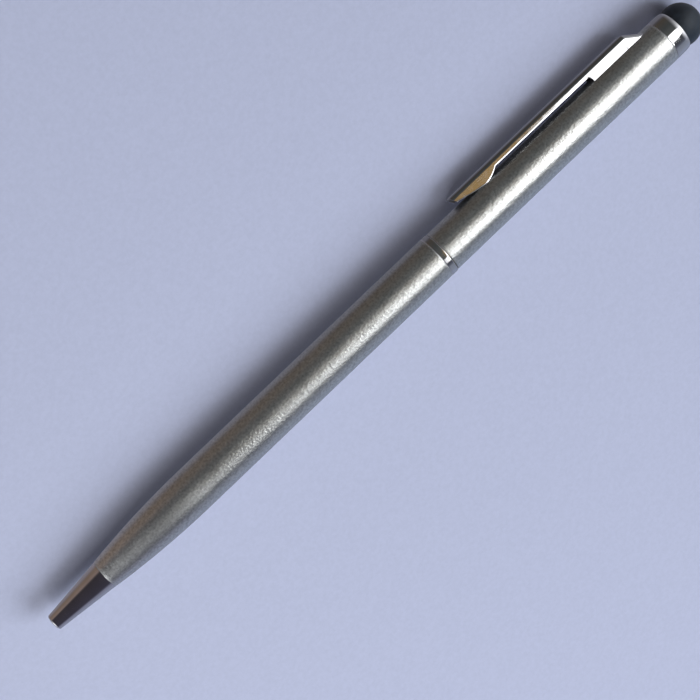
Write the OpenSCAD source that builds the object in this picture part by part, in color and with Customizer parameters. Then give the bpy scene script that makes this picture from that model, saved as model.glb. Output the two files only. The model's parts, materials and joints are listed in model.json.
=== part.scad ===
// Slim twist-action ballpoint pen with a spring clip and a soft stylus dome.
// The pen lies along X, nose towards -X and dome towards +X, as it rests on a table:
// on its lower barrel and on the edge of its clip. Z is up. The origin is on the pen's
// axis, half-way along the straight part of the lower barrel. Millimetres.
// Every piece is drawn upright, with its axis on Z, the nose tip at Z = 0 and the clip
// towards +X, and pen_frame() lays it down.

/* [Outside] */
// Length of the chrome nose cone
nose_len = 11.1; // [10.5:0.1:12]
// Diameter of the nose cone at its tip
nose_tip_d = 2.8; // [2.7:0.1:3.2]
// Diameter of the nose cone where it meets the barrel
nose_base_d = 5.14; // [5.1:0.01:5.2]
// Length of the lower barrel
lower_len = 72.6; // [72:0.1:74]
// Diameter of the straight part of the lower barrel
lower_d = 7.63; // [7.55:0.01:7.75]
// Length of the barrel's curved taper
taper_len = 19.5; // [18.5:0.5:20]
// Radius of the taper's arc, seen from the side
taper_arc_r = 158; // [156:1:170]
// Width of the centre ring
ring_w = 1.2; // [1:0.1:1.4]
// Gap between the centre ring and the upper barrel
turn_gap = 0.12; // [0.1:0.01:0.15]
// Length of the upper barrel
upper_len = 49.3; // [47:0.1:50]
// Diameter of the upper barrel
upper_d = 7.44; // [7.4:0.01:7.5]
// Length of the stylus collar
collar_len = 2.9; // [2.6:0.1:3]
// Diameter of the stylus collar
collar_d = 7.4; // [7.35:0.01:7.45]
// How far the stylus dome stands out of its collar
dome_out = 4.8; // [4.5:0.1:5]
// Diameter of the stylus dome
dome_d = 6.7; // [6.65:0.01:6.75]

/* [Clip] */
// Length of the clip
clip_len = 41.4; // [40:0.1:42]
// Width of the clip
clip_w = 4.1; // [4:0.05:4.2]
// Thickness of the clip's folded sheet
clip_sheet = 0.4; // [0.3:0.05:0.45]
// Outer radius of the folds along the clip's two long edges
clip_fold_r = 0.75; // [0.65:0.05:0.8]
// From the pen's axis to the clip's outer face at its root
clip_root_rise = 5.5; // [5.45:0.05:5.55]
// From the pen's axis to the clip's outer face at its free end
clip_tip_rise = 5.55; // [5.5:0.05:5.65]
// Depth of the clip's thin side walls, from its outer face
clip_wall_depth = 1.3; // [1.2:0.05:1.4]
// From the upper barrel's end back to the clip's pointed end
clip_setback = 1.6; // [1.4:0.1:2]
// Length of the bend at the clip's pointed end
clip_bend_len = 3.1; // [2.8:0.1:3.3]
// Length of the deep side walls at the clip's root
clip_root_len = 11.1; // [10:0.1:11.5]
// From the clip's free end to the neck behind the lobe under it
clip_lobe_len = 9.1; // [8.5:0.1:9.5]

/* [Twist mechanism] */
// Travel of the refill
travel = 3.7; // [3.4:0.1:3.7]
// Turn of the upper half that makes this travel, in degrees
twist = 180; // [150:10:200]
// Radial clearance of the running fits
fit = 0.05; // [0.04:0.01:0.07]
// Diameter of the refill's tube
refill_d = 2.35; // [2.3:0.01:2.4]
// Length of the refill's tube
refill_len = 57.8; // [57:0.1:58]
// Diameter of the writing ball
ball_d = 0.7; // [0.5:0.1:0.7]
// Diameter of the follower pin
pin_d = 0.8; // [0.7:0.05:0.9]

/* [Hidden] */
$fn = 64;
eps = 0.05;
chamfer = 0.1;

// Stations along the pen, measured from the nose tip
lower_start = nose_len;
taper_end = lower_start + taper_len;
lower_end = lower_start + lower_len;
ring_end = lower_end + ring_w;
upper_start = ring_end + turn_gap;
upper_end = upper_start + upper_len;
collar_end = upper_end + collar_len;
dome_end = collar_end + dome_out;
middle = (taper_end + lower_end - chamfer) / 2;

// Radii of the two barrels
lower_r = lower_d / 2;
upper_r = upper_d / 2;
lower_bore = 2.9;
upper_bore = 3.05;
thread_r = 2.1;
thread_end = lower_start + 6;

// Twist mechanism: nested tubes from the inside out
carrier_r = 1.8;
sleeve_in = carrier_r + fit;
sleeve_out = sleeve_in + 0.35;
cam_in = sleeve_out + fit;
cam_out = cam_in + 0.5;
spigot_r = upper_bore - fit;
spigot_end = ring_end + 2.9;
washer_end = spigot_end + 0.5;
cam_start = washer_end + 0.1;
cam_end = cam_start + 11.2;
clip_ring_start = cam_end + 0.2;
clip_ring_end = clip_ring_start + 0.5;
sleeve_start = lower_end - 8;
sleeve_end = clip_ring_end + 0.7;
pin_r = pin_d / 2;
slot_r = pin_r + fit;
pin_z = cam_start + 6;
pin_reach = cam_out - fit;

// Refill, retracted
point_z = 1.2;
socket_lip = 0.22;
needle_r = 0.8;
needle_z = point_z + 7.2;
tube_start = needle_z + 2;
tube_end = tube_start + refill_len;
refill_r = refill_d / 2;
refill_bore = 0.9;
carrier_start = tube_end - 7.2;
carrier_end = pin_z + 2.2;

// Clip: stations and heights over the pen's axis
clip_end = upper_end - clip_setback;
clip_start = clip_end - clip_len;
clip_bend = clip_end - clip_bend_len;
root_start = clip_end - clip_root_len;
lobe_front = clip_start + 0.8;
lobe_lowest = clip_start + 6.3;
lobe_end = clip_start + clip_lobe_len;
lobe_low_rise = 3.2;
clip_seat = upper_r + 0.04;
clip_end_rise = 3.2;

// The pen rolls on its lower barrel until the fold at the clip's free end touches the table
fold_rise = clip_tip_rise - clip_fold_r;
fold_side = clip_w / 2 - clip_fold_r;
clip_roll = asin((lower_r - clip_fold_r) / norm([fold_rise, fold_side])) - atan2(fold_side, fold_rise);

module pen_frame() {
  translate([-middle, 0, 0]) rotate([0, 90, 0]) rotate([0, 0, 90 - clip_roll]) children();
}

// Points of a circular arc, in degrees
function arc(centre, r, from, to, steps) =
  [for (i = [0 : steps]) let (a = from + (to - from) * i / steps)
    centre + r * [cos(a), sin(a)]];

// A tube or a disc between two stations
module ring(r_out, r_in, z0, z1) {
  translate([0, 0, z0]) difference() {
    cylinder(h = z1 - z0, r = r_out);
    if (r_in > 0) translate([0, 0, -eps]) cylinder(h = z1 - z0 + 2 * eps, r = r_in);
  }
}

// A slot along the pen for a pin that points towards +X
module straight_slot(r, z0, z1) {
  translate([0, -r, z0]) cube([5, 2 * r, z1 - z0]);
  for (z = [z0, z1]) translate([0, 0, z]) rotate([0, 90, 0]) cylinder(h = 5, r = r);
}

module nose_cone() {
  round_r = 0.45;
  tip_r = nose_tip_d / 2;
  color("silver") pen_frame() rotate_extrude() polygon(concat(
    [[0.88, 3.2], [0.88, 0]],
    arc([tip_r - round_r, round_r], round_r, -90, 0, 6),
    [[nose_base_d / 2, nose_len], [thread_r - 0.15, nose_len], [thread_r - 0.15, nose_len + 0.7],
     [thread_r, nose_len + 0.9], [thread_r, thread_end - 0.4], [thread_r - 0.3, thread_end],
     [1.3, thread_end], [1.3, 4.4]]));
}

module lower_barrel() {
  taper_top = asin(taper_len / taper_arc_r);
  outer = arc([lower_r - taper_arc_r, taper_end], taper_arc_r, -taper_top, 0, 20);
  color("lightgray") pen_frame() rotate_extrude() polygon(concat(
    [[thread_r + 0.02, thread_end + 0.2], [thread_r + 0.02, lower_start]],
    outer,
    [[lower_r, lower_end - chamfer], [lower_r - chamfer, lower_end],
     [lower_bore, lower_end], [lower_bore, lower_start + 13]]));
}

// Brass bush pressed into the lower barrel; the upper barrel turns on its spigot
module mechanism_bush() {
  color("goldenrod") pen_frame() difference() {
    union() {
      ring(lower_bore, 0, sleeve_start - 0.6, ring_end);
      ring(spigot_r, 0, ring_end, spigot_end);
    }
    ring(sleeve_out, 0, sleeve_start, spigot_end + eps);
    ring(carrier_r + 0.2, 0, sleeve_start - 1, sleeve_start + eps);
    ring(spigot_r + 1, 2.42, ring_end + 0.9, ring_end + 1.7);
  }
}

// The ring's outside is slightly crowned
module centre_ring() {
  crown = 0.05;
  color("gainsboro") pen_frame() rotate_extrude() polygon(concat(
    [[lower_bore, ring_end], [lower_bore, lower_end], [lower_r - crown - chamfer, lower_end]],
    [for (i = [0 : 6]) let (u = i / 3 - 1)
      [lower_r - crown * u * u, lower_end + chamfer + (ring_w - 2 * chamfer) * i / 6]],
    [[lower_r - crown - chamfer, ring_end]]));
}

// Rubber ring in the spigot's groove, which gives the twist its drag
module drag_o_ring() {
  color("dimgray") pen_frame() translate([0, 0, ring_end + 1.3])
    rotate_extrude() translate([2.72, 0]) circle(r = 0.29, $fn = 24);
}

module thrust_washer() {
  color("ivory") pen_frame() ring(spigot_r - 0.1, sleeve_out, spigot_end, washer_end);
}

// Steel tube with a straight slot that stops the refill carrier from turning
module guide_sleeve() {
  color("slategray") pen_frame() difference() {
    ring(sleeve_out, sleeve_in, sleeve_start, sleeve_end);
    straight_slot(slot_r, pin_z - travel - 0.1, pin_z + 0.1);
    ring(sleeve_out + 1, sleeve_out - 0.2, clip_ring_start, clip_ring_end);
  }
}

module retaining_ring() {
  color("darkslategray") pen_frame() difference() {
    ring(2.6, sleeve_out - 0.18, clip_ring_start + 0.02, clip_ring_end - 0.02);
    translate([0, -0.6, clip_ring_start - 1]) cube([5, 1.2, 3]);
  }
}

module upper_barrel() {
  color("lightgray") pen_frame() difference() {
    rotate_extrude() polygon([
      [upper_bore, upper_start], [upper_r - chamfer, upper_start],
      [upper_r, upper_start + chamfer], [upper_r, upper_end - chamfer],
      [upper_r - chamfer, upper_end], [upper_bore, upper_end]]);
    tongue_hole(0.2);
  }
}

// Tube with a helical slot: half a turn of it drives the follower pin along the pen
module cam_tube() {
  steps = 44;
  color("goldenrod") pen_frame() difference() {
    ring(cam_out, cam_in, cam_start, cam_end);
    for (i = [0 : steps])
      translate([0, 0, pin_z - travel * i / steps]) rotate([0, 0, twist * i / steps])
        rotate([0, 90, 0]) cylinder(h = 4, r = slot_r, $fn = 24);
  }
}

// Plastic bush that joins the cam tube to the upper barrel
module drive_bush() {
  color("whitesmoke") pen_frame() difference() {
    ring(upper_bore, 0, cam_start + 2.4, sleeve_end + 2.4);
    ring(cam_out, 0, cam_start, sleeve_end + 0.9);
    ring(1.2, 0, sleeve_end, sleeve_end + 3);
  }
}

// Opening for the clip's tongue, grown by a clearance on every side
module tongue_hole(gap) {
  translate([2.2 - gap, -0.85 - gap, clip_end - 2.45 - gap])
    cube([3, 1.7 + 2 * gap, 1.4 + 2 * gap]);
}

// Brass plug inside the upper barrel that takes the clip's tongue and the stylus stud
module clip_anchor() {
  color("goldenrod") pen_frame() difference() {
    ring(upper_bore, 1.7, clip_end - 15, upper_end - 2.2);
    tongue_hole(0.2);
  }
}

// Height of the clip's outer face over the axis, along its straight part
function clip_face(z) =
  clip_tip_rise + (clip_root_rise - clip_tip_rise) * (z - clip_start) / (clip_bend - clip_start);

// Lower edge of the side walls at a station: falls to the lobe's lowest point, rises to the neck
function lobe_edge(z) = let (low = lobe_low_rise, high = clip_face(z) - clip_wall_depth)
  z < lobe_lowest
    ? low + (high - low) * pow((lobe_lowest - z) / (lobe_lowest - lobe_front), 1.35)
    : low + (high - low) * pow((z - lobe_lowest) / (lobe_end - lobe_lowest), 1.7);

// Side outline of the clip's two walls, as [station, height over the axis]
function clip_wall_outline() = let (corner = 0.5, step = root_start - 0.2, slit = clip_end - 3.8)
  concat(
    [[clip_start + 0.15, clip_tip_rise - 0.1]],
    [for (i = [0 : 10]) let (z = lobe_front + (lobe_lowest - lobe_front) * i / 10) [z, lobe_edge(z)]],
    [for (i = [1 : 8]) let (z = lobe_lowest + (lobe_end - lobe_lowest) * i / 8) [z, lobe_edge(z)]],
    arc([step - corner, clip_face(step) - clip_wall_depth - corner], corner, 90, 0, 5),
    [[step + 0.1, 1.5], [slit - 0.05, 1.5], [slit - 0.03, clip_seat], [slit + 0.03, clip_seat],
     [slit + 0.05, 1.5], [clip_end, 1.5], [clip_end, clip_end_rise - 0.1],
     [clip_bend, clip_root_rise - 0.1]]);

// Bent strip that is the clip's outer face
function clip_strip_outline() = [
  [clip_start, clip_tip_rise], [clip_bend, clip_root_rise], [clip_end, clip_end_rise],
  [clip_end - 0.7, clip_end_rise], [clip_bend - 0.1, clip_root_rise - clip_sheet],
  [clip_start, clip_tip_rise - clip_sheet]];

// Extrudes a side outline across the clip's width, between two places on that width
module across_clip(outline, y0, y1) {
  translate([0, y0, 0]) mirror([0, 1, 0]) rotate([90, 0, 0]) linear_extrude(y1 - y0)
    polygon([for (p = outline) [p[1], p[0]]]);
}

// Long bar, rounded along its two outer edges, that the folded sheet lies inside
module clip_fold_bar() {
  half = clip_w / 2;
  translate([0, 0, clip_start - 1]) linear_extrude(clip_len + 2)
    polygon(concat(
      [[0, -half]],
      arc([fold_rise, -fold_side], clip_fold_r, -90, 0, 8),
      arc([fold_rise, fold_side], clip_fold_r, 0, 90, 8),
      [[0, half]]));
}

module clip() {
  half = clip_w / 2;
  color("silver") pen_frame() difference() {
    intersection() {
      clip_fold_bar();
      union() {
        across_clip(clip_strip_outline(), -half, half);
        across_clip(clip_wall_outline(), -half, clip_sheet - half);
        across_clip(clip_wall_outline(), half - clip_sheet, half);
        intersection() {
          tongue_hole(0);
          across_clip([[0, 0], [clip_start, clip_tip_rise - 0.1], [clip_bend, clip_root_rise - 0.1],
            [clip_end, clip_end_rise], [clip_end, 0]], -half, half);
        }
      }
    }
    difference() {
      ring(clip_seat, 0, clip_start - 1, clip_end + 1);
      tongue_hole(0.01);
    }
  }
}

module stylus_collar() {
  mouth_r = dome_d / 2 + 0.07;
  collar_r = collar_d / 2;
  lip = collar_r - mouth_r;
  rim = [for (a = [0 : 15 : 90]) [mouth_r + lip * cos(a), collar_end - 0.75 + 0.75 * sin(a)]];
  color("gainsboro") pen_frame() rotate_extrude() polygon(concat(
    [[1.75, upper_end - 2], [upper_bore, upper_end - 2], [upper_bore, upper_end + 0.02],
     [collar_r, upper_end + 0.02]],
    rim, [[mouth_r, upper_end + 0.9], [1.75, upper_end + 0.9]]));
}

// Plastic stud that screws through the collar into the anchor and carries the dome
module stylus_holder() {
  color("dimgray") pen_frame() {
    ring(1.7, 0, clip_end - 10, upper_end + 0.9);
    rotate_extrude() polygon([
      [0, upper_end + 0.9], [2.6, upper_end + 0.9], [2.6, upper_end + 1.4],
      [1.8, upper_end + 1.4], [1.8, upper_end + 3.6], [1.4, upper_end + 4], [0, upper_end + 4]]);
  }
}

module stylus_dome() {
  dome_r = dome_d / 2;
  wall = 0.7;
  crown = dome_end - dome_r;
  base = upper_end + 0.92;
  color([0.16, 0.18, 0.22]) pen_frame() rotate_extrude() polygon(concat(
    [[dome_r - wall, base], [dome_r, base]],
    arc([0, crown], dome_r, 0, 90, 16),
    arc([0, crown], dome_r - wall, 90, 0, 16)));
}

// Slides in the guide sleeve, grips the refill and carries the follower pin
module refill_carrier() {
  color("whitesmoke") pen_frame() difference() {
    ring(carrier_r, 0, carrier_start, carrier_end);
    ring(refill_r, 0, carrier_start - 1, tube_end + 0.1);
    ring(carrier_r + 1, carrier_r - 0.3, tube_end + 1.5, sleeve_start - 3);
    translate([-1.5, 0, pin_z]) rotate([0, 90, 0]) cylinder(h = 4, r = pin_r);
  }
}

module follower_pin() {
  color("slategray") pen_frame() translate([-1.5, 0, pin_z]) rotate([0, 90, 0])
    cylinder(h = pin_reach + 1.5, r = pin_r);
}

module refill_tube() {
  color("gold") pen_frame() ring(refill_r, refill_bore, tube_start, tube_end);
}

module refill_ink() {
  color("navy") pen_frame() ring(refill_bore - 0.02, 0, tube_start + 3.1, tube_end - 6.1);
}

module refill_plug() {
  color("whitesmoke") pen_frame() ring(refill_bore, 0, tube_end - 1.5, tube_end);
}

// Point of the refill: a ball socket, a cone, a needle and a stem inside the tube
module refill_tip() {
  ball_r = ball_d / 2;
  color("gold") pen_frame() difference() {
    rotate_extrude() polygon([
      [0, point_z + socket_lip], [ball_r + 0.02, point_z + socket_lip],
      [needle_r, point_z + 2.8], [needle_r, needle_z], [refill_r, needle_z + 0.4],
      [refill_r, tube_start], [refill_bore, tube_start], [refill_bore, tube_start + 3],
      [0, tube_start + 3]]);
    translate([0, 0, point_z + ball_r]) sphere(r = ball_r + 0.02, $fn = 32);
    ring(0.15, 0, point_z + ball_r, tube_start + 4);
  }
}

module writing_ball() {
  color("silver") pen_frame() translate([0, 0, point_z + ball_d / 2])
    sphere(r = ball_d / 2, $fn = 32);
}

nose_cone();
lower_barrel();
mechanism_bush();
centre_ring();
drag_o_ring();
thrust_washer();
guide_sleeve();
retaining_ring();
upper_barrel();
cam_tube();
drive_bush();
clip_anchor();
clip();
stylus_collar();
stylus_holder();
stylus_dome();
refill_carrier();
follower_pin();
refill_tube();
refill_ink();
refill_plug();
refill_tip();
writing_ball();
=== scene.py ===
"""Looks of a slim twist pen: satin barrels, chrome fittings, a folded clip and a rubber dome.

The pen lies along X, nose towards -X. Its axis is y = z = 0, and its clip points to +Y and a
little down. Heights of the clip are measured from the pen's axis, and stations along X.
"""
import itertools
import json
import math

import bmesh
import bpy
from mathutils import Matrix, Vector


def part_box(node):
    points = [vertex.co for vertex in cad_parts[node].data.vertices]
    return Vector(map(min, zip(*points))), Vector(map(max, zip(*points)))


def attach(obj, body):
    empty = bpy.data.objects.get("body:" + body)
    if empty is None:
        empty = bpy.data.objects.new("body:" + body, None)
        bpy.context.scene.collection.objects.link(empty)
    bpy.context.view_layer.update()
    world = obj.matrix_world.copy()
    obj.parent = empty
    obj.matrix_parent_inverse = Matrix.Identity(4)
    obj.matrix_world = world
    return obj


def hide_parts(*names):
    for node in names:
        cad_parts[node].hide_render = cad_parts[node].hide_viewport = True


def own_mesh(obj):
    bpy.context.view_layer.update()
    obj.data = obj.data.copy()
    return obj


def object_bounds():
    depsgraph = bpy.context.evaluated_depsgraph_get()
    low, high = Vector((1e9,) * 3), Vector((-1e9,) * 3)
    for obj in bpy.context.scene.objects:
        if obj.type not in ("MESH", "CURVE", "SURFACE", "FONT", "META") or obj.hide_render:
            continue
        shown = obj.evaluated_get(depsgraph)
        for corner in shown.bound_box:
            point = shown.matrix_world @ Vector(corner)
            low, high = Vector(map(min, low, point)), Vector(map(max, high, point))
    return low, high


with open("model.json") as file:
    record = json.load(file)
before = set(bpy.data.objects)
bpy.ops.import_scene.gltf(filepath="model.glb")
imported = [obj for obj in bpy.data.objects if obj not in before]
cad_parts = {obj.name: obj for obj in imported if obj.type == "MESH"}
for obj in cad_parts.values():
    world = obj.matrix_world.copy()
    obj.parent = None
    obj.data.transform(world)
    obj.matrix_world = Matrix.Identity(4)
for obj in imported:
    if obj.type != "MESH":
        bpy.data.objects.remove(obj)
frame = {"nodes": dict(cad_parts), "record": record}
CAD_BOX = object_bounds()

MM = 0.001
SIDES = 160
SHARP_DEG = 35
ON_AXIS = 1e-7

# ---------------------------------------------------------------- sizes from the frame

NOSE_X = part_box("nose_cone")[0].x
LOWER_X0, LOWER_X1 = (corner.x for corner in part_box("lower_barrel"))
RING_X0, RING_X1 = (corner.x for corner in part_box("centre_ring"))
UPPER_X0, UPPER_X1 = (corner.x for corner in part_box("upper_barrel"))
COLLAR_X1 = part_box("stylus_collar")[1].x
DOME_X0, DOME_X1 = (corner.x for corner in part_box("stylus_dome"))
CLIP_X0, CLIP_X1 = (corner.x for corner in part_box("clip"))
LOWER_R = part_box("lower_barrel")[1].z
UPPER_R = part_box("upper_barrel")[1].z
COLLAR_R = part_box("stylus_collar")[1].z
DOME_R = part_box("stylus_dome")[1].z
BORE_R = 3.05 * MM

CLIP_TIP_RISE = 5.55 * MM
CLIP_ROOT_RISE = 5.5 * MM
CLIP_HALF = 2.05 * MM
CLIP_FOLD = 0.75 * MM
FOLD_RISE = CLIP_TIP_RISE - CLIP_FOLD
FOLD_SIDE = CLIP_HALF - CLIP_FOLD
# The clip leans down by this angle from level, so that its fold rests on the table.
FOLD_REACH = math.hypot(FOLD_RISE, FOLD_SIDE)
CLIP_ROLL = math.asin((LOWER_R - CLIP_FOLD) / FOLD_REACH) - math.atan2(FOLD_SIDE, FOLD_RISE)
CLIP_OUT = Vector((0, math.cos(CLIP_ROLL), -math.sin(CLIP_ROLL)))
CLIP_SIDE = Vector((0, math.sin(CLIP_ROLL), math.cos(CLIP_ROLL)))


# ---------------------------------------------------------------- mesh helpers

def new_object(name, mesh):
    """Link a mesh as a new object."""
    obj = bpy.data.objects.new(name, mesh)
    bpy.context.scene.collection.objects.link(obj)
    return obj


def from_bmesh(name, bm):
    """Turn a bmesh into a smooth-shaded object, with edges over SHARP_DEG kept sharp."""
    bmesh.ops.recalc_face_normals(bm, faces=bm.faces)
    mesh = bpy.data.meshes.new(name)
    bm.to_mesh(mesh)
    bm.free()
    mesh.polygons.foreach_set("use_smooth", [True] * len(mesh.polygons))
    mesh.set_sharp_from_angle(angle=math.radians(SHARP_DEG))
    mesh.update()
    return new_object(name, mesh)


def rounded(corners, steps=5):
    """An outline of (x, r, fillet) corners with each corner rounded to its fillet radius."""
    points = []
    for i, (x, r, fillet) in enumerate(corners):
        here = Vector((x, r))
        if fillet <= 0:
            points.append((x, r))
            continue
        before = Vector(corners[i - 1][:2]) - here
        after = Vector(corners[(i + 1) % len(corners)][:2]) - here
        half = before.angle(after) / 2
        reach = min(fillet / math.tan(half), 0.45 * before.length, 0.45 * after.length)
        radius = reach * math.tan(half)
        start = here + before.normalized() * reach
        centre = here + (before.normalized() + after.normalized()).normalized() * radius / math.sin(half)
        end = here + after.normalized() * reach
        turn = (start - centre).angle_signed(end - centre)
        for k in range(steps + 1):
            spoke = (start - centre).copy()
            spoke.rotate(Matrix.Rotation(-turn * k / steps, 2))
            points.append(tuple(centre + spoke))
    return points


def quarter(steps):
    """(sine, cosine) of even steps through a quarter turn."""
    turns = [math.pi / 2 * i / steps for i in range(steps + 1)]
    return [(math.sin(a), math.cos(a)) for a in turns]


def arc(x, r, radius, start_deg, end_deg, steps):
    """Points (x, r) of a circular arc, measured from the +X direction towards larger r."""
    turns = [math.radians(start_deg + (end_deg - start_deg) * i / steps) for i in range(steps + 1)]
    return [(x + radius * math.cos(a), r + radius * math.sin(a)) for a in turns]


def supported(outline, reach=0.12 * MM):
    """The outline with a point near both ends of each long stretch, so that shading stays true."""
    points = []
    for start, end in zip(outline, outline[1:] + outline[:1]):
        points.append(start)
        length = math.dist(start, end)
        if length > 4 * reach:
            for share in (reach / length, 1 - reach / length):
                points.append(tuple(a + (b - a) * share for a, b in zip(start, end)))
    return points


def lathe(name, outline, sides=SIDES):
    """A closed solid of revolution about X, from a closed outline of (x, r) points."""
    outline = supported(outline)
    bm = bmesh.new()
    rings = []
    for x, r in outline:
        if r < ON_AXIS:
            rings.append([bm.verts.new((x, 0, 0))])
            continue
        turns = (2 * math.pi * i / sides for i in range(sides))
        rings.append([bm.verts.new((x, r * math.cos(a), r * math.sin(a))) for a in turns])
    for one, two in zip(rings, rings[1:] + rings[:1]):
        for i in range(sides):
            j = (i + 1) % sides
            corners = [one[i % len(one)], one[j % len(one)], two[j % len(two)], two[i % len(two)]]
            unique = list(dict.fromkeys(corners))
            if len(unique) > 2:
                bm.faces.new(unique)
    return from_bmesh(name, bm)


# ---------------------------------------------------------------- materials

def node_material(name, base, metallic, roughness, **sockets):
    """A Principled material. Returns (material, node tree, shader, object coordinates)."""
    mat = bpy.data.materials.new(name)
    mat.use_nodes = True
    tree = mat.node_tree
    shader = tree.nodes["Principled BSDF"]
    shader.inputs["Base Color"].default_value = (*base, 1)
    shader.inputs["Metallic"].default_value = metallic
    shader.inputs["Roughness"].default_value = roughness
    for key, value in sockets.items():
        shader.inputs[key.replace("_", " ")].default_value = value
    coordinates = tree.nodes.new("ShaderNodeTexCoord").outputs["Object"]
    return mat, tree, shader, coordinates


def noise(tree, coordinates, size, detail=3.0, stretch=(1, 1, 1)):
    """Noise whose grain has the given size in metres, stretched along the axes."""
    mapping = tree.nodes.new("ShaderNodeMapping")
    mapping.inputs["Scale"].default_value = tuple(1 / (size * s) for s in stretch)
    texture = tree.nodes.new("ShaderNodeTexNoise")
    texture.inputs["Scale"].default_value = 1.0
    texture.inputs["Detail"].default_value = detail
    texture.inputs["Roughness"].default_value = 0.55
    tree.links.new(coordinates, mapping.inputs["Vector"])
    tree.links.new(mapping.outputs["Vector"], texture.inputs["Vector"])
    return texture.outputs["Fac"]


def ranged(tree, value, low, high, start=0.3, end=0.7):
    """Map a texture value from start..end to low..high."""
    node = tree.nodes.new("ShaderNodeMapRange")
    node.inputs["From Min"].default_value = start
    node.inputs["From Max"].default_value = end
    node.inputs["To Min"].default_value = low
    node.inputs["To Max"].default_value = high
    tree.links.new(value, node.inputs["Value"])
    return node.outputs["Result"]


def mixed(tree, factor, one, two):
    """Mix two colours by a factor. Each colour is a triple or a node's output."""
    node = tree.nodes.new("ShaderNodeMix")
    node.data_type = "RGBA"
    for key, colour in (("A", one), ("B", two)):
        if isinstance(colour, tuple):
            node.inputs[key].default_value = (*colour, 1)
        else:
            tree.links.new(colour, node.inputs[key])
    tree.links.new(factor, node.inputs["Factor"])
    return node.outputs["Result"]


def bump(tree, shader, height, distance, strength=1.0, under=None):
    """Add a bump of the given depth in metres to the shader, on top of another one."""
    node = tree.nodes.new("ShaderNodeBump")
    node.inputs["Distance"].default_value = distance
    node.inputs["Strength"].default_value = strength
    tree.links.new(height, node.inputs["Height"])
    if under is not None:
        tree.links.new(under, node.inputs["Normal"])
    tree.links.new(node.outputs["Normal"], shader.inputs["Normal"])
    return node.outputs["Normal"]


def satin_metal():
    """Fine-blasted metal under a satin lacquer: sparkling grain and faint clouding."""
    mat, tree, shader, where = node_material("satin_barrel", (0.66, 0.67, 0.68), 1.0, 0.3)
    grain = noise(tree, where, 0.13 * MM, detail=2.0)
    cloud = noise(tree, where, 3.5 * MM, detail=3.0)
    speckle = noise(tree, where, 0.38 * MM, detail=2.0)
    tint = mixed(tree, ranged(tree, speckle, 0, 1), (0.60, 0.615, 0.61), (0.92, 0.94, 0.93))
    tree.links.new(tint, shader.inputs["Base Color"])
    tree.links.new(ranged(tree, cloud, 0.285, 0.325), shader.inputs["Roughness"])
    coarse = bump(tree, shader, speckle, 0.042 * MM)
    bump(tree, shader, grain, 0.006 * MM, under=coarse)
    return mat


def chrome(name, base=(0.80, 0.80, 0.82), roughness=0.05, wave=0.0):
    """Bright plating with hair-fine scratches, faint haze and, on stamped sheet, a slight ripple."""
    mat, tree, shader, where = node_material(name, base, 1.0, roughness)
    haze = noise(tree, where, 1.2 * MM, detail=4.0)
    tree.links.new(ranged(tree, haze, roughness * 0.7, roughness * 1.8), shader.inputs["Roughness"])
    dull = tuple(0.9 * c for c in base)
    tint = mixed(tree, ranged(tree, noise(tree, where, 2.5 * MM), 0, 1), dull, base)
    tree.links.new(tint, shader.inputs["Base Color"])
    scratches = noise(tree, where, 0.05 * MM, detail=1.0, stretch=(30, 1, 1))
    ripple = bump(tree, shader, noise(tree, where, 1.6 * MM, detail=1.0), wave * MM)
    bump(tree, shader, scratches, 0.00025 * MM, under=ripple)
    return mat


def soft_rubber(name, base):
    """Matte silicone rubber with a fine skin texture and a dusty sheen."""
    mat, tree, shader, where = node_material(
        name, base, 0.0, 0.5, Sheen_Weight=0.05, Sheen_Roughness=0.4)
    dust = noise(tree, where, 0.8 * MM, detail=5.0)
    light = tuple(1.5 * c for c in base)
    tint = mixed(tree, ranged(tree, dust, 0, 1, 0.4, 0.75), base, light)
    tree.links.new(tint, shader.inputs["Base Color"])
    tree.links.new(ranged(tree, dust, 0.44, 0.58), shader.inputs["Roughness"])
    bump(tree, shader, noise(tree, where, 0.12 * MM), 0.004 * MM)
    return mat


def inner_part(name, base, metallic, roughness):
    """Machined or moulded inner piece with fine turning marks."""
    mat, tree, shader, where = node_material(name, base, metallic, roughness)
    marks = noise(tree, where, 0.08 * MM, detail=2.0, stretch=(1, 20, 20))
    dark = tuple(0.82 * c for c in base)
    tree.links.new(mixed(tree, ranged(tree, marks, 0, 1), dark, base), shader.inputs["Base Color"])
    tree.links.new(ranged(tree, marks, roughness * 0.8, roughness * 1.2), shader.inputs["Roughness"])
    bump(tree, shader, marks, 0.002 * MM)
    return mat


SATIN = satin_metal()
CHROME = chrome("chrome")
CLIP_CHROME = chrome("clip_chrome", base=(0.64, 0.64, 0.66), roughness=0.07, wave=0.006)
# The clip's inside: a rougher finish, and a dark colour that is painted shade under the clip.
CLIP_INSIDE_PAINTED_SHADE = inner_part("clip_inside_painted_shade", (0.16, 0.16, 0.18), 0.6, 0.4)
RUBBER = soft_rubber("stylus_rubber", (0.015, 0.023, 0.034))
SLOT_LOOKS = {
    "satin_barrel": SATIN,
    "chrome": CHROME,
    "stylus_rubber": RUBBER,
    "seal_rubber": soft_rubber("seal_rubber", (0.012, 0.012, 0.013)),
    "brass": inner_part("brass", (0.78, 0.60, 0.32), 1.0, 0.25),
    "steel": inner_part("steel", (0.62, 0.63, 0.65), 1.0, 0.22),
    "white_plastic": inner_part("white_plastic", (0.80, 0.80, 0.77), 0.0, 0.45),
    "dark_plastic": inner_part("dark_plastic", (0.04, 0.04, 0.045), 0.0, 0.45),
    "ink": inner_part("ink", (0.01, 0.015, 0.12), 0.0, 0.15),
}


def paint_frame():
    """Give every CAD node the material of its slot."""
    for part in frame["record"]["subparts"]:
        mesh = frame["nodes"][part["node"]].data
        mesh.materials.clear()
        mesh.materials.append(SLOT_LOOKS[part["material_slot"]])


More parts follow.
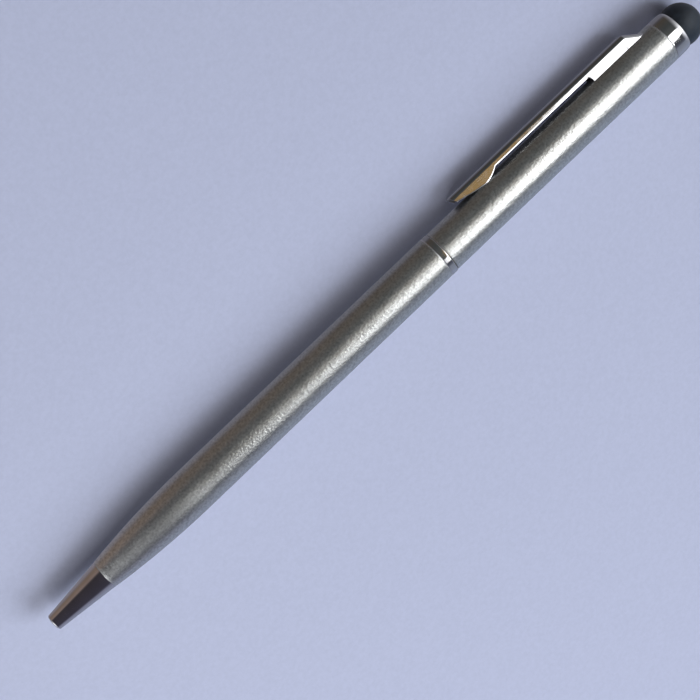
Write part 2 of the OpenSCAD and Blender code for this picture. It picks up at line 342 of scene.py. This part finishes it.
def place(piece, body, node, material):
    """A finished piece rides on a body and stands for a CAD node."""
    piece.data.materials.clear()
    piece.data.materials.append(material)
    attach(piece, body)
    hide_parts(node)


# ---------------------------------------------------------------- turned pieces

def nose_cone():
    """The chrome cone, with its shank inside the lower barrel."""
    tip_r, base_r, mouth_r = 1.4 * MM, 2.57 * MM, 0.88 * MM
    shank_r, bore_r, shank_x = 2.0 * MM, 1.3 * MM, NOSE_X + 17 * MM
    outline = rounded([
        (NOSE_X + 3.2 * MM, mouth_r, 0), (NOSE_X, mouth_r, 0.12 * MM), (NOSE_X, tip_r, 0.42 * MM),
        (LOWER_X0, base_r, 0.05 * MM), (LOWER_X0, shank_r, 0), (shank_x, shank_r, 0),
        (shank_x, bore_r, 0), (NOSE_X + 4.4 * MM, bore_r, 0)], steps=8)
    piece = lathe("nose_cone_shell", outline)
    place(piece, "lower_half", "nose_cone", CHROME)


def lower_barrel():
    """The satin lower tube, which narrows to the cone in one long arc."""
    taper, arc_r, edge = 19.5 * MM, 158 * MM, 0.1 * MM
    front_bore_r, bore_r = 2.1 * MM, 2.9 * MM
    straight_x = LOWER_X0 + taper
    steps = 48
    curve = []
    for i in range(1, steps + 1):
        x = LOWER_X0 + edge + (taper - edge) * i / steps
        curve.append((x, LOWER_R - arc_r + math.sqrt(arc_r ** 2 - (straight_x - x) ** 2), 0))
    start_r = LOWER_R - taper ** 2 / (2 * arc_r)
    corners = [(LOWER_X0, front_bore_r, 0), (LOWER_X0, start_r, edge)]
    corners += curve
    corners += [(LOWER_X1, LOWER_R, edge), (LOWER_X1, bore_r, 0),
                (LOWER_X0 + 13 * MM, bore_r, 0), (LOWER_X0 + 6.2 * MM, front_bore_r, 0)]
    piece = lathe("lower_barrel_shell", rounded(corners))
    place(piece, "lower_half", "lower_barrel", SATIN)


def centre_ring():
    """The chrome ring between the halves, very slightly crowned."""
    edge, crown, bore_r = 0.12 * MM, 0.004 * MM, 2.9 * MM
    middle = (RING_X0 + RING_X1) / 2
    corners = [
        (RING_X0, bore_r, 0), (RING_X0, LOWER_R - crown, edge), (middle, LOWER_R, 0),
        (RING_X1, LOWER_R - crown, edge), (RING_X1, bore_r, 0)]
    piece = lathe("centre_ring_shell", rounded(corners, steps=8))
    place(piece, "lower_half", "centre_ring", CHROME)


def upper_barrel():
    """The satin upper tube, straight and open at both ends."""
    edge = 0.1 * MM
    corners = [(UPPER_X0, BORE_R, 0), (UPPER_X0, UPPER_R, edge),
               (UPPER_X1, UPPER_R, edge), (UPPER_X1, BORE_R, 0)]
    piece = lathe("upper_barrel_shell", rounded(corners))
    place(piece, "upper_half", "upper_barrel", SATIN)


def stylus_collar():
    """The chrome collar: a shank inside the upper barrel, and an end that turns in to the dome."""
    mouth_r, shank_r, bore_r = DOME_R + 0.14 * MM, 3.0 * MM, 1.8 * MM
    shank_x, start, seat_x = UPPER_X1 - 2 * MM, UPPER_X1 + 0.05 * MM, UPPER_X1 + 0.95 * MM
    turn, lip = 1.3 * MM, COLLAR_R - mouth_r
    corners = [(shank_x, bore_r, 0), (shank_x, shank_r, 0), (start, shank_r, 0),
               (start, COLLAR_R, 0.08 * MM)]
    corners += [(COLLAR_X1 - turn + turn * sine, mouth_r + lip * cosine, 0) for sine, cosine in quarter(16)]
    corners += [(seat_x, mouth_r, 0), (seat_x, bore_r, 0)]
    piece = lathe("stylus_collar_shell", rounded(corners, steps=10))
    place(piece, "upper_half", "stylus_collar", CHROME)


def stylus_dome():
    """The hollow rubber dome, which swells beyond its collar.

    Open fault: it slides with the dome body and flattens too, so that at dome_press's limit it
    sinks about 1.6 mm instead of 0.8 mm and cuts into the collar.
    """
    wall, bulb_r = 0.7 * MM, 3.6 * MM
    crown = DOME_X1 - bulb_r
    neck = 180 - math.degrees(math.asin(DOME_R / bulb_r))
    inner_neck = 180 - math.degrees(math.asin((DOME_R - wall) / (bulb_r - wall)))
    outline = [(DOME_X0, DOME_R - wall), (DOME_X0, DOME_R)]
    outline += arc(crown, 0, bulb_r, neck, 0, 48)
    outline += arc(crown, 0, bulb_r - wall, 0, inner_neck, 24)
    piece = lathe("stylus_dome_skin", outline)
    place(piece, "dome", "stylus_dome", RUBBER)
    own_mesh(piece)


# ---------------------------------------------------------------- folded clip

CLIP_SHEET = 0.4 * MM
CLIP_FACET = 0.17 * MM
CLIP_BEND_X = CLIP_X1 - 3.1 * MM
CLIP_END_RISE = 3.2 * MM
WALL_DEPTH = 1.3 * MM
LOBE_FRONT = CLIP_X0 + 0.8 * MM
LOBE_LOWEST = CLIP_X0 + 6.3 * MM
LOBE_END = CLIP_X0 + 9.1 * MM
LOBE_LOW_RISE = 3.2 * MM
ROOT_X = CLIP_X1 - 11.3 * MM
ROOT_CORNER = 0.75 * MM
SLIT_X = CLIP_X1 - 3.8 * MM
SLIT_HALF = 0.06 * MM
SLIT_TOP = 3.55 * MM
BURIED = 2.3 * MM
SEAT_R = UPPER_R + 0.02 * MM
# The least wall under the sheet, the round of a lower edge, and the flats beside a wall's ends.
LEAST_WALL = 0.2 * MM
BRIM = 0.04 * MM
FLAT = 0.02 * MM
# The free end is cut back at a slant over this length, which shifts its lower edge by SLANT_SHIFT.
SLANT_LENGTH = 3 * MM
SLANT = 0.55
SLANT_SHIFT = 0.7 * MM


def clip_face(x):
    """Height of the clip's outer face at a station."""
    if x <= CLIP_BEND_X:
        share = (x - CLIP_X0) / (CLIP_BEND_X - CLIP_X0)
        return CLIP_TIP_RISE + (CLIP_ROOT_RISE - CLIP_TIP_RISE) * share
    share = (x - CLIP_BEND_X) / (CLIP_X1 - CLIP_BEND_X)
    return CLIP_ROOT_RISE + (CLIP_END_RISE - CLIP_ROOT_RISE) * share


def clip_edge(x):
    """Height of the side walls' lower edge at a station: lobe, thin wall and deep root."""
    thin = clip_face(x) - WALL_DEPTH
    if x < LOBE_LOWEST:
        share = min((LOBE_LOWEST - x) / (LOBE_LOWEST - LOBE_FRONT), 1)
        return LOBE_LOW_RISE + (thin - LOBE_LOW_RISE) * share ** 1.35
    if x < LOBE_END:
        share = (x - LOBE_LOWEST) / (LOBE_END - LOBE_LOWEST)
        return LOBE_LOW_RISE + (thin - LOBE_LOW_RISE) * share ** 1.7
    if x <= ROOT_X - ROOT_CORNER:
        return thin
    if x <= ROOT_X:
        across = x - (ROOT_X - ROOT_CORNER)
        return thin - ROOT_CORNER + math.sqrt(max(ROOT_CORNER ** 2 - across ** 2, 0))
    return BURIED


def clip_section(face, edge):
    """Half of the folded sheet's section as (height, side) points, from outer to inner centre."""
    low = min(edge, face - CLIP_SHEET - LEAST_WALL)
    bend = min(CLIP_FOLD, 0.6 * (face - low))
    inner_bend = max(bend - CLIP_SHEET, 0.05 * MM)
    facet_in = 0.3 * (CLIP_FACET - BRIM)
    inner = CLIP_HALF - CLIP_SHEET
    under = face - CLIP_SHEET
    points = [(face, 0), (face, 0.5 * (CLIP_HALF - bend))]
    points += [(face - bend + bend * cosine, CLIP_HALF - bend + bend * sine) for sine, cosine in quarter(8)]
    points += [(face - bend - FLAT, CLIP_HALF), (low + CLIP_FACET + FLAT, CLIP_HALF),
               (low + CLIP_FACET, CLIP_HALF)]
    points += [(low + BRIM - BRIM * sine, CLIP_HALF - facet_in - BRIM + BRIM * cosine)
               for sine, cosine in quarter(4)]
    points += [(low + BRIM - BRIM * cosine, inner + BRIM - BRIM * sine) for sine, cosine in quarter(4)]
    points += [(under - inner_bend + inner_bend * sine, inner - inner_bend + inner_bend * cosine)
               for sine, cosine in quarter(4)]
    points.append((under, 0))
    return points


def clip_stations():
    """Stations along the clip: close together at the lobe, the step and the bend."""
    spans = [(CLIP_X0, LOBE_FRONT, 4), (LOBE_FRONT, LOBE_END, 36), (LOBE_END, ROOT_X - ROOT_CORNER, 20),
             (ROOT_X - ROOT_CORNER, ROOT_X, 10), (ROOT_X + 0.01 * MM, CLIP_BEND_X - 0.1 * MM, 10),
             (CLIP_BEND_X + 0.1 * MM, CLIP_X1, 10)]
    return [a + (b - a) * i / n for a, b, n in spans for i in range(n + 1)]


def at_free_end(x):
    """1 at the free end, falling to 0 over the length of its slant."""
    return max(0, 1 - (x - CLIP_X0) / SLANT_LENGTH)


def clip_point(x, height, side):
    """A point of the clip in the row frame. The free end is cut back at a slant under its face."""
    slant = SLANT * at_free_end(x)
    return Vector((x + slant * (clip_face(x) - height), 0, 0)) + CLIP_OUT * height + CLIP_SIDE * side


def slit_cutter():
    """A thin blade that parts the root walls from the sloping end."""
    bottom, reach = MM, 3 * MM
    bm = bmesh.new()
    corners = itertools.product(
        (SLIT_X - SLIT_HALF, SLIT_X + SLIT_HALF), (bottom, SLIT_TOP), (-reach, reach))
    verts = [bm.verts.new(Vector((x, 0, 0)) + CLIP_OUT * h + CLIP_SIDE * s) for x, h, s in corners]
    for face in ((0, 1, 3, 2), (4, 6, 7, 5), (0, 4, 5, 1), (2, 3, 7, 6), (0, 2, 6, 4), (1, 5, 7, 3)):
        bm.faces.new([verts[i] for i in face])
    return from_bmesh("clip_slit_cutter", bm)


def folded_sheet():
    """The clip before cutting: its section carried along its stations."""
    bm = bmesh.new()
    rows = []
    for x in sorted(set(clip_stations())):
        slant_x = max(x + SLANT_SHIFT * at_free_end(x), LOBE_FRONT)
        edge = clip_edge(slant_x) if x < LOBE_FRONT + SLANT_LENGTH else clip_edge(x)
        half = clip_section(clip_face(x), edge)
        loop = half + [(h, -s) for h, s in reversed(half[1:-1])]
        rows.append([bm.verts.new(clip_point(x, h, s)) for h, s in loop])
    count = len(rows[0])
    for one, two in zip(rows, rows[1:]):
        for i in range(count):
            j = (i + 1) % count
            bm.faces.new((one[i], one[j], two[j], two[i]))
    bm.faces.new(rows[0])
    bm.faces.new(rows[-1])
    return from_bmesh("clip_folded", bm)


def cut_and_softened(piece, cutters):
    """Cut the cutters out of the piece and soften its edges, then drop the cutters."""
    for cutter in cutters:
        cut = piece.modifiers.new(cutter.name, "BOOLEAN")
        cut.operation = "DIFFERENCE"
        cut.object = cutter
        cut.solver = "EXACT"
    soften = piece.modifiers.new("edges", "BEVEL")
    soften.width = 0.035 * MM
    soften.segments = 2
    soften.angle_limit = math.radians(50)
    flatten = piece.modifiers.new("normals", "WEIGHTED_NORMAL")
    flatten.keep_sharp = True
    evaluated = piece.evaluated_get(bpy.context.evaluated_depsgraph_get())
    applied = bpy.data.meshes.new_from_object(evaluated)
    piece.modifiers.clear()
    piece.data = applied
    for cutter in cutters:
        bpy.data.objects.remove(cutter)


def clip():
    """The folded clip, seated on the upper barrel. Its hidden inside is rougher, and its dark colour is
    painted shade for the shade under the clip.
    """
    piece = folded_sheet()
    start, end = CLIP_X0 - MM, CLIP_X1 + MM
    seat = lathe("clip_seat_cutter", [(start, 0), (start, SEAT_R), (end, SEAT_R), (end, 0)])
    cut_and_softened(piece, [seat, slit_cutter()])
    place(piece, "clip_leaf", "clip", CLIP_CHROME)
    # Faces inside the fold and below the outer face get the dark inside material, which is painted shade.
    piece.data.materials.append(CLIP_INSIDE_PAINTED_SHADE)
    depth = 0.75 * CLIP_SHEET
    for face in piece.data.polygons:
        inside = abs(face.center.dot(CLIP_SIDE)) < CLIP_HALF - depth
        below = face.center.dot(CLIP_OUT) < clip_face(face.center.x) - depth
        face.material_index = int(inside and below)


# ---------------------------------------------------------------- floor, light and camera

# The photograph is taken from above, leaning to the clip's side by this angle.
LEAN = math.radians(28)
UP_VIEW = Vector((0, math.sin(LEAN), math.cos(LEAN)))
ACROSS_VIEW = Vector((0, math.cos(LEAN), -math.sin(LEAN)))


def floor():
    """A plain pale sheet under the pen."""
    half, level = 0.8, CAD_BOX[0][2]
    corners = ((-half, -half), (half, -half), (half, half), (-half, half))
    bm = bmesh.new()
    bm.faces.new([bm.verts.new((x, y, level)) for x, y in corners])
    obj = from_bmesh("floor", bm)
    mat, tree, shader, where = node_material("paper", (0.60, 0.655, 0.87), 0.0, 0.9)
    fibre = noise(tree, where, 0.7 * MM, detail=4.0)
    tint = mixed(tree, ranged(tree, fibre, 0, 1), (0.58, 0.635, 0.845), (0.62, 0.675, 0.895))
    tree.links.new(tint, shader.inputs["Base Color"])
    bump(tree, shader, fibre, 0.02 * MM, strength=0.4)
    obj.data.materials.append(mat)
    obj.visible_glossy = False


# What the metal reflects, as (degrees from straight up towards +Y, colour): towards the nose end
# of the studio, and towards the dome end.
NOSE_SIDE = [
    (-180, (0.27, 0.27, 0.33)), (-110, (0.27, 0.29, 0.40)), (-90, (0.25, 0.27, 0.37)),
    (-66, (0.21, 0.21, 0.29)), (-55, (0.08, 0.08, 0.12)), (-45, (0.045, 0.042, 0.06)),
    (58, (0.04, 0.034, 0.04)), (66, (0.07, 0.06, 0.06)), (78, (0.23, 0.17, 0.15)),
    (106, (0.20, 0.145, 0.11)), (122, (0.20, 0.155, 0.14)), (136, (0.23, 0.20, 0.215)),
    (180, (0.27, 0.26, 0.31))]
DOME_SIDE = [
    (-180, (0.14, 0.145, 0.18)), (-150, (0.14, 0.145, 0.18)), (-115, (0.28, 0.32, 0.43)),
    (-80, (0.25, 0.28, 0.35)), (-56, (0.22, 0.245, 0.30)), (-49, (0.11, 0.12, 0.16)),
    (-38, (0.07, 0.075, 0.09)), (-20, (0.06, 0.065, 0.075)), (14, (0.10, 0.105, 0.095)),
    (47, (0.075, 0.08, 0.08)),
    (67, (0.055, 0.06, 0.06)), (112, (0.065, 0.055, 0.045)), (130, (0.07, 0.065, 0.07)),
    (142, (0.14, 0.135, 0.16)), (180, (0.14, 0.145, 0.18))]
# Between these directions along the pen, the nose side gives way to the dome side.
SIDES_BLEND = (-0.35, 0.1)
# What surfaces reflect that face the studio's two ends, and where along the pen that starts.
ENDS = [
    (-180, (0.28, 0.29, 0.34)), (-75, (0.30, 0.32, 0.38)), (-40, (0.75, 0.78, 0.85)),
    (-15, (1.30, 1.32, 1.38)), (20, (1.25, 1.26, 1.28)), (50, (0.55, 0.56, 0.58)),
    (90, (0.24, 0.24, 0.26)), (180, (0.28, 0.28, 0.33))]
ENDS_START = (0.42, 0.62)
# How bright the window is along the pen, as (x of the direction, share of its full power).
WINDOW_ALONG = [
    (-0.05, 0), (0.05, 0.03), (0.12, 0.17), (0.19, 0.68), (0.27, 1), (0.38, 0.7), (0.55, 0.12)]
WINDOW_POWER = 6.8
# Its lower and upper edges slant: each runs between two angles, over a span along the pen.
WINDOW_LOW = (-30, -10)
WINDOW_LOW_ALONG = (0.265, 0.315)
WINDOW_TOP = (-6, 27)
WINDOW_TOP_ALONG = (0.155, 0.262)
# Half the width of each edge's blur, as a share of a full turn.
TOP_BLUR = 2 / 360
LOW_BLUR = 3 / 360
# Towards its top the window fades to this share.
WINDOW_FADE = (-12, 18)
WINDOW_FADED = 0.48
# A strip of warm wood over the window's slanting top: how far it reaches above it, in degrees,
# and where it starts and ends along the pen.
WOOD = (0.46, 0.30, 0.125)
WOOD_TOP = (26, 34)
WOOD_START = (0.147, 0.155)
WOOD_END = (0.20, 0.24)


def math_node(tree, operation, *values):
    """One math node. Each value is a number or a node's output."""
    node = tree.nodes.new("ShaderNodeMath")
    node.operation = operation
    for socket, value in zip(node.inputs, values):
        if isinstance(value, (int, float)):
            socket.default_value = value
        else:
            tree.links.new(value, socket)
    return node.outputs[0]


def product(tree, *values):
    """The product of several values."""
    result = values[0]
    for value in values[1:]:
        result = math_node(tree, "MULTIPLY", result, value)
    return result


def ramp(tree, value, stops):
    """A colour ramp from (place, colour) stops."""
    node = tree.nodes.new("ShaderNodeValToRGB")
    elements = node.color_ramp.elements
    while len(elements) > 1:
        elements.remove(elements[0])
    elements[0].position = stops[0][0]
    elements[0].color = (*stops[0][1], 1)
    for position, colour in stops[1:]:
        elements.new(position).color = (*colour, 1)
    tree.links.new(value, node.inputs["Fac"])
    return node.outputs["Color"]


def turned(degrees):
    """Place of an angle on the studio's ramps."""
    return degrees / 360 + 0.5


def around_ramp(tree, turn, stops):
    """A colour ramp around the pen, from (degrees, colour) stops."""
    return ramp(tree, turn, [(turned(degrees), colour) for degrees, colour in stops])


def window_power(tree, along, turn, over):
    """Brightness of the window: a slanting pane, brightest near the middle of its length."""
    under_top = ranged(tree, over, 1, 0, -TOP_BLUR, TOP_BLUR)
    bottom = ranged(tree, along, *map(turned, WINDOW_LOW), *WINDOW_LOW_ALONG)
    above_low = ranged(tree, math_node(tree, "SUBTRACT", turn, bottom), 0, 1, -LOW_BLUR, LOW_BLUR)
    fade = ranged(tree, turn, 1, WINDOW_FADED, *map(turned, WINDOW_FADE))
    shares = [((x + 1) / 2, (share, share, share)) for x, share in WINDOW_ALONG]
    reach = ramp(tree, math_node(tree, "MULTIPLY_ADD", along, 0.5, 0.5), shares)
    return product(tree, under_top, above_low, fade, reach, WINDOW_POWER)


def studio_walls(tree, along, turn, over):
    """Colour of the studio around the window: its long sides, its two ends and the wood."""
    nose_side, dome_side, ends = (around_ramp(tree, turn, stops) for stops in (NOSE_SIDE, DOME_SIDE, ENDS))
    walls = mixed(tree, ranged(tree, along, 0, 1, *SIDES_BLEND), nose_side, dome_side)
    near_end = ranged(tree, math_node(tree, "ABSOLUTE", along), 0, 1, *ENDS_START)
    room = mixed(tree, near_end, walls, ends)
    wood_low = ranged(tree, over, 0, 1, -TOP_BLUR, TOP_BLUR)
    wood_high = ranged(tree, over, 1, 0, *(degrees / 360 for degrees in WOOD_TOP))
    wood_start = ranged(tree, along, 0, 1, *WOOD_START)
    wood_end = ranged(tree, along, 1, 0, *WOOD_END)
    return mixed(tree, product(tree, wood_low, wood_high, wood_start, wood_end), room, WOOD)


def studio_world():
    """A studio with a bright window over the dome end. Seen by the camera it is plain and pale."""
    world = bpy.data.worlds.new("studio")
    bpy.context.scene.world = world
    world.use_nodes = True
    world.cycles_visibility.diffuse = False
    tree = world.node_tree
    tree.nodes.clear()
    direction = tree.nodes.new("ShaderNodeSeparateXYZ")
    tree.links.new(tree.nodes.new("ShaderNodeTexCoord").outputs["Generated"], direction.inputs[0])
    along, across, up = direction.outputs
    around = math_node(tree, "ARCTAN2", across, up)
    turn = math_node(tree, "MULTIPLY_ADD", around, 1 / (2 * math.pi), 0.5)
    top = ranged(tree, along, *map(turned, WINDOW_TOP), *WINDOW_TOP_ALONG)
    over = math_node(tree, "SUBTRACT", turn, top)
    glow, base, plain = (tree.nodes.new("ShaderNodeBackground") for _ in range(3))
    tree.links.new(window_power(tree, along, turn, over), glow.inputs["Strength"])
    tree.links.new(studio_walls(tree, along, turn, over), base.inputs["Color"])
    plain.inputs["Color"].default_value = (0.42, 0.46, 0.62, 1)
    both = tree.nodes.new("ShaderNodeAddShader")
    tree.links.new(glow.outputs[0], both.inputs[0])
    tree.links.new(base.outputs[0], both.inputs[1])
    seen = tree.nodes.new("ShaderNodeMixShader")
    tree.links.new(tree.nodes.new("ShaderNodeLightPath").outputs["Is Camera Ray"], seen.inputs[0])
    tree.links.new(both.outputs[0], seen.inputs[1])
    tree.links.new(plain.outputs[0], seen.inputs[2])
    output = tree.nodes.new("ShaderNodeOutputWorld")
    tree.links.new(seen.outputs[0], output.inputs["Surface"])


def soft_lamp(name, location, size, power, colour):
    """A square soft lamp aimed at the pen, which lights what is matte."""
    light = bpy.data.lights.new(name, "AREA")
    light.shape = "SQUARE"
    light.size = size
    light.energy = power
    light.color = colour
    obj = bpy.data.objects.new(name, light)
    bpy.context.scene.collection.objects.link(obj)
    obj.location = location
    obj.rotation_euler = (-obj.location).to_track_quat("-Z", "Y").to_euler()
    obj.visible_glossy = False


def camera():
    """The photograph's view: from above, leaning to the clip's side and towards the nose."""
    pen_angle = math.radians(43.7)
    tilt = math.radians(2.88)
    distance = 262.3 * MM
    sensor_mm, focal_px, picture_px = 36, 1645, 700
    centre = Vector((NOSE_X + 63.48 * MM, 0, 0)) - ACROSS_VIEW * 1.14 * MM
    back = UP_VIEW * math.cos(tilt) - Vector((math.sin(tilt), 0, 0))
    pen = (Vector((1, 0, 0)) - back * back.x).normalized()
    left = back.cross(pen)
    right = pen * math.cos(pen_angle) - left * math.sin(pen_angle)
    up = back.cross(right)
    data = bpy.data.cameras.new("camera")
    data.sensor_width = sensor_mm
    data.lens = sensor_mm * focal_px / picture_px
    data.clip_start = 0.01
    obj = bpy.data.objects.new("camera", data)
    bpy.context.scene.collection.objects.link(obj)
    axes = Matrix((right, up, back)).transposed().to_4x4()
    obj.matrix_world = Matrix.Translation(centre + back * distance) @ axes
    bpy.context.scene.camera = obj


paint_frame()
nose_cone()
lower_barrel()
centre_ring()
upper_barrel()
stylus_collar()
stylus_dome()
clip()
floor()
studio_world()
soft_lamp("key", (0.60, -0.90, 0.95), 1.1, 17.0, (0.94, 0.96, 1.0))
soft_lamp("fill", (-0.30, -0.15, 0.35), 0.35, 0.9, (0.97, 0.95, 0.95))
soft_lamp("sky", (0.05, 0.30, 0.90), 1.4, 1.2, (1.0, 0.92, 0.89))
camera()
bpy.context.scene.view_settings.view_transform = "Standard"
